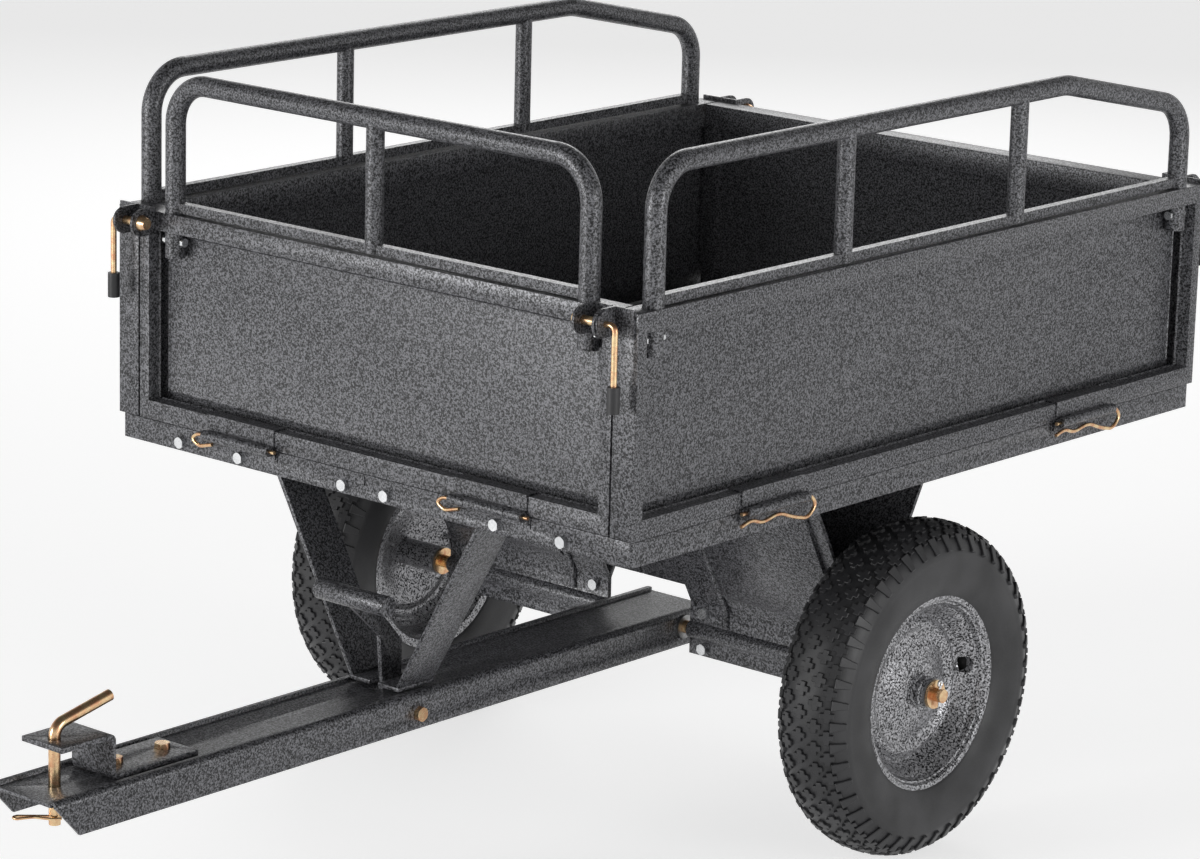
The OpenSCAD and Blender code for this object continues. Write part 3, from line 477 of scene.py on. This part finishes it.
class PaintShop:
    """Holds the mixed finishes and dresses pieces with them."""

    def __init__(self) -> None:
        """Builds the pattern groups and mixes every finish."""
        hammer_group()
        scuff_group()
        self.materials = {finish.name: finish.mix() for finish in FINISHES}

    def dress(self, piece: bpy.types.Object, finish: Finish) -> None:
        """Gives a piece one finish all over.

        Args:
            piece: the object.
            finish: the finish; the material of its name fills the piece's one slot.
        """
        piece.data.materials.clear()
        piece.data.materials.append(self.materials[finish.name])

    def dress_frame(self, record: dict) -> None:
        """Gives every CAD node the finish of its slot.

        Args:
            record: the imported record.
        """
        # these two are plated all over, whatever their slot says
        plated = {"axle": GOLD_ZINC, "cotter_pins": BRIGHT_ZINC}
        for part in record["subparts"]:
            node = frame["nodes"][part["node"]]
            if not node.material_slots:
                node.data.materials.append(None)
            other = plated.get(part["node"])
            finish = other.name if other else part["material_slot"]
            for place in node.material_slots:
                place.material = self.materials[finish]


# ------------------------------------------------------------------ wheels
@dataclass
class Wheel:
    """A pneumatic wheel: a tyre with moulded blocks and a dished rim."""

    side: Side
    centre: Vector = field(init=False)
    # the rubber: radii, and the power of its rounded section
    crown: float = 0.1970
    waist: float = 0.155
    rim_edge: float = 0.117
    drop: float = 0.060
    half_width: float = 0.0475
    shape: float = 2.3
    section_steps: int = 56
    round_steps: int = 120
    # the raised rings on its walls
    rings: tuple[float, ...] = (0.126, 0.1655)
    ring_lift: float = 0.0009
    ring_spread: float = 0.0013
    # the tread: rows as degrees across the section, and its two kinds of block
    pitches: int = 46
    cross_rows: tuple[float, ...] = (90.0, 70.0, 51.0)
    bar_row: float = 32.0
    block: float = 0.0160
    block_depth: float = 0.0045
    block_edge: float = 0.0006
    bar: tuple[float, float, float] = (0.0125, 0.0210, 0.0046)
    bar_taper: float = 0.55
    bar_edge: float = 0.0008
    raised: float = 0.0006
    # the disc's window: its size, and its place out from the axle
    window_size: Point = (0.0125, 0.0200)
    window_reach: float = 0.026
    window_at: float = 0.0935
    window_out: float = 0.0150
    window_angle: float = 6.0
    # the rim's sheet and the ends of its hub tube
    sheet: float = 0.003
    rim_steps: int = 128
    hub_steps: int = 64
    hub_end: float = 0.0384
    hub_back: float = -0.0418

    def __post_init__(self) -> None:
        """Finds the wheel's middle from its tyre."""
        low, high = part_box(f"tyre_{self.side.name.lower()}")
        self.centre = (low + high) / 2

    def carcass_point(self, angle: float) -> Point:
        """Gives a point of the tyre's rounded section.

        Args:
            angle: 90 degrees at the crown, 0 at the outer wall, in radians.

        Returns:
            The radius and the distance outwards from the wheel's middle.
        """
        power = 2 / self.shape
        c, s = math.cos(angle), math.sin(angle)
        rise = self.crown - self.waist if s > 0 else self.drop
        out = self.half_width * math.copysign(abs(c) ** power, c)
        return self.waist + rise * math.copysign(abs(s) ** power, s), out

    def tyre_outline(self) -> list[Point]:
        """Gives the tyre's closed outline, with raised rings on its walls.

        Returns:
            Points as radius and distance outwards.
        """
        inside_lip = 0.0012
        below = (self.waist - self.rim_edge + inside_lip) / self.drop
        foot = -math.asin(below ** (self.shape / 2))
        outer: list[Point] = []
        for i in range(self.section_steps + 1):
            angle = foot + (math.pi - 2 * foot) * i / self.section_steps
            radius, out = self.carcass_point(angle)
            on_wall = abs(math.cos(angle)) > 0.5
            for ring in self.rings if on_wall else ():
                lift = self.ring_lift * math.exp(-(((radius - ring) / self.ring_spread) ** 2))
                out += math.copysign(lift, out)
            outer.append((radius, out))
        bead = [(0.112, -0.034), (0.1085, -0.0315), (0.1035, -0.0255), (0.1035, -0.021),
                (0.125, -0.020), (0.125, 0.020), (0.1035, 0.021), (0.1035, 0.0255),
                (0.1085, 0.0315), (0.112, 0.034)]
        return outer + bead

    def cross_block(self) -> bpy.types.Object:
        """Models one cross-shaped tread block, standing on Z = 0.

        Returns:
            The block.
        """
        third = self.block / 3
        middle, arm = third * 1.25, third * 0.95
        deselect_all()
        bpy.ops.mesh.primitive_cube_add(size=middle)
        block = bpy.context.object
        block.name = "tread_block"
        block.scale.z = self.block_depth / middle
        settle(block)
        for face_at in ((1, 0), (0, 1), (-1, 0), (0, -1)):
            bpy.ops.object.mode_set(mode="EDIT")
            bpy.ops.mesh.select_all(action="DESELECT")
            bpy.ops.object.mode_set(mode="OBJECT")
            for polygon in block.data.polygons:
                toward = polygon.normal.dot(Vector((*face_at, 0)))
                polygon.select = toward > 0.9 and polygon.center.length < third
            bpy.ops.object.mode_set(mode="EDIT")
            bpy.ops.mesh.select_mode(type="FACE")
            move = Vector((*face_at, 0)) * arm
            bpy.ops.mesh.extrude_region_move(TRANSFORM_OT_translate={"value": move})
            bpy.ops.object.mode_set(mode="OBJECT")
        use_modifier(block, "BEVEL", width=self.block_edge, segments=1, limit_method="ANGLE")
        return block

    def bar_block(self) -> bpy.types.Object:
        """Models one shoulder bar, tapered towards the wall.

        Returns:
            The bar, with its length along Y.
        """
        deselect_all()
        bpy.ops.mesh.primitive_cube_add(size=1)
        bar = bpy.context.object
        bar.name = "shoulder_bar"
        bar.scale = self.bar
        settle(bar)
        for vertex in bar.data.vertices:
            if vertex.co.y < 0:
                vertex.co.x *= self.bar_taper
                vertex.co.z -= self.bar_edge
        use_modifier(bar, "BEVEL", width=self.bar_edge, segments=1, limit_method="ANGLE")
        return bar

    def seat(self, angle: float, turn: float) -> Matrix:
        """Gives the place of a block on the tread.

        Args:
            angle: the place across the tyre, as in carcass_point.
            turn: the angle round the wheel.

        Returns:
            A matrix whose Z is the surface's normal and whose Y runs across the tread.
        """
        radius, out = self.carcass_point(angle)
        ahead = self.carcass_point(angle + 0.02)
        across = Vector((self.side.value * (ahead[1] - out), 0, ahead[0] - radius)).normalized()
        around = Vector((0, 1, 0))
        normal = around.cross(across)
        if normal.dot(Vector((self.side.value * out, 0, radius - self.waist))) < 0:
            normal = -normal
            around = -around
        place = Vector((self.side.value * out, 0, radius)) + normal * self.raised
        basis = Matrix((around, across, normal)).transposed().to_4x4()
        local = Matrix.Translation(place) @ basis
        return Matrix.Translation(self.centre) @ Matrix.Rotation(turn, 4, "X") @ local

    def row_places(self, degrees: float, row: int) -> list[Matrix]:
        """Gives the places of the blocks in one row, and in its mirror row across the crown.

        Args:
            degrees: the row's place across the section.
            row: the row's number; odd rows are half a pitch on.

        Returns:
            A matrix for each block.
        """
        across = [(degrees, Matrix())]
        if degrees < 90:
            across.append((180 - degrees, Matrix.Rotation(math.pi, 4, "Z")))
        turns = [math.tau * (i + 0.5 * (row % 2)) / self.pitches for i in range(self.pitches)]
        return [self.seat(math.radians(angle), turn) @ flip
                for angle, flip in across for turn in turns]

    def tread(self) -> list[bpy.types.Object]:
        """Sets the moulded blocks round the tyre.

        Returns:
            The block copies, each with its own mesh.
        """
        crosses = [place for row, degrees in enumerate(self.cross_rows)
                   for place in self.row_places(degrees, row)]
        bars = self.row_places(self.bar_row, len(self.cross_rows))
        return [*repeat(self.cross_block(), crosses), *repeat(self.bar_block(), bars)]

    def rim_outline(self) -> list[Point]:
        """Gives the rim's closed outline: rolled lips, barrel, ridge and a domed disc.

        Returns:
            Points as radius and distance outwards.
        """
        face = [(0.1100, 0.0372), (0.1082, 0.0340), (0.1064, 0.0305), (0.1035, 0.0272),
                (0.1002, 0.0242), (0.0970, 0.0198), (0.0930, 0.0140), (0.0900, 0.0092),
                (0.0882, 0.0064), (0.0866, 0.0053), (0.0850, 0.0062), (0.0820, 0.0090),
                (0.0785, 0.0114), (0.0752, 0.0120), (0.0722, 0.0108), (0.0685, 0.0086),
                (0.0645, 0.0077), (0.0600, 0.0086), (0.0540, 0.0108), (0.0450, 0.0142),
                (0.0350, 0.0176), (0.0260, 0.0203), (0.0195, 0.0216), (0.0160, 0.0218)]
        disc = face[8:]
        back = [(radius, out - self.sheet) for radius, out in reversed(disc)]
        back[-1] = (0.0905, 0.0030)  # the disc meets the barrel here
        inner = [(0.0945, 0.0), (0.0945, -0.008), (0.0985, -0.018), (0.0990, -0.0280),
                 (0.1045, -0.0345), (0.1140, -0.0355), (0.1168, -0.0365), (0.1165, -0.0380),
                 (0.1140, -0.0385), (0.1055, -0.0370), (0.1015, -0.0300), (0.1010, -0.0170),
                 (0.0970, -0.0080), (0.0970, 0.0080), (0.1010, 0.0170), (0.1015, 0.0240),
                 (0.1060, 0.0330), (0.1120, 0.0352), (0.1168, 0.0360), (0.1172, 0.0372),
                 (0.1160, 0.0384), (0.1130, 0.0386)]
        return face + back + inner

    def window(self) -> bpy.types.Object:
        """Makes the cutter for the oblong hole that shows the valve.

        Returns:
            A block with rounded ends that reaches through the disc.
        """
        deselect_all()
        bpy.ops.mesh.primitive_cube_add(size=1)
        cutter = bpy.context.object
        cutter.scale = (self.window_reach, *self.window_size)
        settle(cutter)
        round_ends = self.window_size[0] * 0.48
        use_modifier(cutter, "BEVEL", width=round_ends, segments=6, limit_method="ANGLE")
        turn = Matrix.Rotation(math.radians(self.window_angle), 4, "X")
        lift = Matrix.Translation(Vector((self.side.value * self.window_out, self.window_at, 0)))
        cutter.data.transform(Matrix.Translation(self.centre) @ turn @ lift)
        return cutter

    def rim(self) -> bpy.types.Object:
        """Turns the rim, cuts its window and adds the hub.

        Returns:
            The rim.
        """
        name = self.side.name.lower()
        rim = lathe(f"rim_{name}_pressed", self.rim_outline(), self.centre, self.side,
                    self.rim_steps)
        cutter = self.window()
        use_modifier(rim, "BOOLEAN", object=cutter, operation="DIFFERENCE", solver="EXACT")
        bpy.data.objects.remove(cutter)
        end, back, chamfer = self.hub_end, self.hub_back, 0.0008
        hub_line = [(0.0125, end), (0.0165, end), (0.0172, end - chamfer),
                    (0.0172, back + chamfer), (0.0165, back), (0.0125, back)]
        hub = lathe("hub", hub_line, self.centre, self.side, self.hub_steps)
        collar_line = [(0.0150, 0.0205), (0.0196, 0.0212), (0.0202, 0.0225), (0.0196, 0.0240),
                       (0.0180, 0.0246), (0.0180, 0.0300), (0.0190, 0.0306), (0.0193, 0.0318),
                       (0.0186, 0.0328), (0.0178, 0.0334), (0.0150, 0.0334)]
        collar = lathe("collar", collar_line, self.centre, self.side, self.hub_steps)
        joined = join([rim, hub, collar], f"rim_{name}_pressed")
        smooth(joined, 32)
        return joined

    def build(self, shop: PaintShop) -> None:
        """Builds the tyre and the rim and dresses them.

        Args:
            shop: the finishes.
        """
        name = self.side.name.lower()
        carcass = lathe(f"tyre_{name}_moulded", self.tyre_outline(), self.centre, self.side,
                        self.round_steps)
        tyre = join([carcass, *self.tread()], f"tyre_{name}_moulded")
        for piece, node, finish in ((tyre, f"tyre_{name}", TYRE),
                                    (self.rim(), f"rim_{name}", HAMMERED_RIM)):
            shop.dress(piece, finish)
            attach(piece, f"wheel_{name}")
            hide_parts(node)
            log.info("%s rides on wheel_%s", piece.name, name)


# ------------------------------------------------------------------ clips
@dataclass
class HingeClips:
    """Spring clips: one leg of each is a wall's hinge pin, and the other waves back under it."""

    wire: float = 0.00225
    bend: float = 0.011
    pin_height: float = 0.474
    out: float = 0.008
    side_in: float = 0.236
    end_at: float = 0.195
    # along the hinge line and up from it, in millimetres
    long_path: tuple[Point, ...] = ((-62, 0), (60, 0), (70, -12), (56, -26), (30, -20), (4, -10),
                                    (-26, -16), (-44, -9), (-62, -14))
    short_path: tuple[Point, ...] = ((62, 0), (-64, 0), (-74, -7), (-62, -15), (-40, -9))

    def side_places(self) -> list[Matrix]:
        """Gives the places of the clips under the two side walls.

        Returns:
            A matrix for each clip.
        """
        places = []
        for side in Side:
            low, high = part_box(f"{side.name.lower()}_panel")
            middle, half = (low.y + high.y) / 2, (high.y - low.y) / 2 - self.side_in
            x = (high.x if side is Side.RIGHT else low.x) + side.value * self.out
            places += [Matrix.Translation((x, middle + end, self.pin_height))
                       for end in (-half, half)]
        return places

    def end_places(self) -> list[Matrix]:
        """Gives the places of the clips under the front wall and the tailgate.

        Returns:
            A matrix for each clip.
        """
        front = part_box("front_panel")[0].y - self.out
        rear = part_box("tailgate_panel")[1].y + self.out
        return [Matrix.Translation((end, y, self.pin_height))
                for y in (front, rear) for end in (-self.end_at, self.end_at)]

    def build(self, shop: PaintShop) -> None:
        """Bends all eight clips and dresses them.

        Args:
            shop: the finishes.
        """
        long_clip = bent_wire("clip", [Vector((0, along * MM, up * MM))
                                       for along, up in self.long_path], self.wire, self.bend)
        short_clip = bent_wire("clip", [Vector((along * MM, 0, up * MM))
                                        for along, up in self.short_path], self.wire, self.bend)
        clips = join([*repeat(long_clip, self.side_places()),
                      *repeat(short_clip, self.end_places())], "hinge_clips_bent")
        shop.dress(clips, GOLD_ZINC)
        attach(clips, "bed")
        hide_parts("hinge_clips")
        log.info("%s rides on bed", clips.name)


# ------------------------------------------------------------------ bracket ribs
@dataclass
class BracketRibs:
    """Rolled ribs pressed into the sloping faces of the axle brackets."""

    across: float = 0.122
    radius: float = 0.0052
    face: float = 0.0030
    knee: float = 0.236
    run: float = 0.104
    top: float = 0.426
    foot: float = 0.2135
    bend: float = 0.012

    def build(self, shop: PaintShop) -> None:
        """Rolls the four ribs and dresses them.

        Args:
            shop: the finishes.
        """
        low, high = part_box("axle")
        axle_y = (low.y + high.y) / 2
        places = [Matrix.Translation((side.value * self.across, 0, 0)) for side in Side]
        copies = []
        for front in (-1, 1):
            y = axle_y + front * self.face
            points = [Vector((0, y + front * self.run, self.top)), Vector((0, y, self.knee)),
                      Vector((0, y, self.foot))]
            copies += repeat(bent_wire("rib", points, self.radius, self.bend), places)
        ribs = join(copies, "bracket_ribs")
        shop.dress(ribs, HAMMERED)
        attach(ribs, "bed")
        log.info("%s rides on bed", ribs.name)


# ------------------------------------------------------------------ pressed pieces
@dataclass
class PressedSteel:
    """Sheet metal pieces whose edges are rounded by the press."""

    pieces: dict[str, tuple[str, Edge]] = field(default_factory=lambda: {
        "front_panel": ("front_wall", Edge.PRESSED),
        "left_panel": ("left_wall", Edge.PRESSED),
        "right_panel": ("right_wall", Edge.PRESSED),
        "tailgate_panel": ("tailgate", Edge.PRESSED),
        "floor_pan": ("bed", Edge.PRESSED),
        "tongue_channel": ("tongue", Edge.FORGED),
        "axle_bracket_left": ("bed", Edge.SHEET),
        "axle_bracket_right": ("bed", Edge.SHEET),
        "strut_left": ("bed", Edge.FORGED),
        "strut_right": ("bed", Edge.FORGED),
        "strut_yoke": ("bed", Edge.SHEET),
        "hitch_plate": ("tongue", Edge.FORGED),
        "foot_pedal": ("pedal", Edge.SHEET),
    })

    def build(self, shop: PaintShop) -> None:
        """Makes a rounded skin for each piece and dresses it.

        Args:
            shop: the finishes.
        """
        for node, (body, edge) in self.pieces.items():
            skin = softened_copy(node, edge.value)
            shop.dress(skin, HAMMERED)
            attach(skin, body)
            log.info("%s rides on %s", skin.name, body)


# ------------------------------------------------------------------ studio
@dataclass
class Studio:
    """Camera, floor and soft light round the cart."""

    azimuth: float = 42.2549
    elevation: float = 14.0605
    roll: float = 1.1039
    eye: tuple[float, float, float] = (-0.1387, -0.525, -5.2285)
    lens: float = 136.12
    shift: Point = (0.09996, -0.01195)
    bed_front: float = 0.2895
    aim_height: float = 0.4

    def camera(self) -> None:
        """Sets the camera at a three-quarter view."""
        a, e, r = (math.radians(v) for v in (self.azimuth, self.elevation, self.roll))
        back = Vector((math.sin(a) * math.cos(e), -math.cos(a) * math.cos(e), math.sin(e)))
        right = Vector((math.cos(a), math.sin(a), 0))
        up = back.cross(right)
        right, up = (right * math.cos(r) + up * math.sin(r),
                     up * math.cos(r) - right * math.sin(r))
        turn = Matrix((right, up, back)).transposed()
        place = -(turn @ Vector(self.eye)) - Vector((0, self.bed_front, 0))
        data = bpy.data.cameras.new("camera")
        data.lens = self.lens
        data.sensor_width = 36
        data.shift_x, data.shift_y = self.shift
        camera = bpy.data.objects.new("camera", data)
        camera.matrix_world = Matrix.Translation(place) @ turn.to_4x4()
        bpy.context.scene.collection.objects.link(camera)
        bpy.context.scene.camera = camera

    def floor(self) -> None:
        """Lays a plain pale floor."""
        deselect_all()
        bpy.ops.mesh.primitive_plane_add(size=60)
        floor = bpy.context.object
        floor.name = "studio_floor"
        material = bpy.data.materials.new("studio_floor")
        material.use_nodes = True
        shader = material.node_tree.nodes["Principled BSDF"]
        shader.inputs["Base Color"].default_value = (0.6, 0.6, 0.6, 1)
        shader.inputs["Roughness"].default_value = 0.9
        shader.inputs["Emission Color"].default_value = (1, 1, 1, 1)
        shader.inputs["Emission Strength"].default_value = 0.62
        floor.data.materials.append(material)

    def lamp(self, name: str, place: Sequence[float], size: float, power: float) -> None:
        """Hangs a square soft light that faces the cart.

        Args:
            name: the light's name.
            place: its position.
            size: the length of its side.
            power: its power in watts.
        """
        data = bpy.data.lights.new(name, "AREA")
        data.size = size
        data.energy = power
        lamp = bpy.data.objects.new(name, data)
        aim = (Vector(place) - Vector((0, 0, self.aim_height))).to_track_quat("Z", "Y")
        lamp.matrix_world = Matrix.Translation(place) @ aim.to_matrix().to_4x4()
        bpy.context.scene.collection.objects.link(lamp)

    def light(self) -> None:
        """Sets the pale surroundings and the lamps."""
        world = bpy.data.worlds.new("studio")
        world.use_nodes = True
        tree = world.node_tree
        where = tree.nodes.new("ShaderNodeTexCoord")
        split = tree.nodes.new("ShaderNodeSeparateXYZ")
        tone = ramp(tree, [(0.0, 1.0), (0.26, 0.95), (0.62, 0.14), (1.0, 0.10)])
        tree.links.new(where.outputs["Generated"], split.inputs[0])
        tree.links.new(split.outputs["Z"], tone.inputs["Fac"])
        tree.links.new(tone.outputs["Color"], tree.nodes["Background"].inputs["Color"])
        tree.nodes["Background"].inputs["Strength"].default_value = 0.9
        bpy.context.scene.world = world
        self.lamp("front_light", (-1.6, -4.2, 1.1), 1.6, 95)
        self.lamp("side_light", (4.2, 0.2, 1.0), 1.6, 45)
        self.lamp("rear_light", (-2.6, 3.4, 2.6), 2.2, 45)

    def build(self) -> None:
        """Sets the whole studio."""
        bpy.context.scene.view_settings.view_transform = "Standard"
        self.camera()
        self.floor()
        self.light()


def main() -> None:
    """Builds the cart's looks in order."""
    logging.basicConfig(level=logging.INFO, format="%(name)s: %(message)s")
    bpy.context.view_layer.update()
    Studio().build()
    shop = PaintShop()
    shop.dress_frame(frame["record"])
    PressedSteel().build(shop)
    for side in Side:
        Wheel(side).build(shop)
    BracketRibs().build(shop)
    HingeClips().build(shop)


if __name__ == "__main__":
    main()
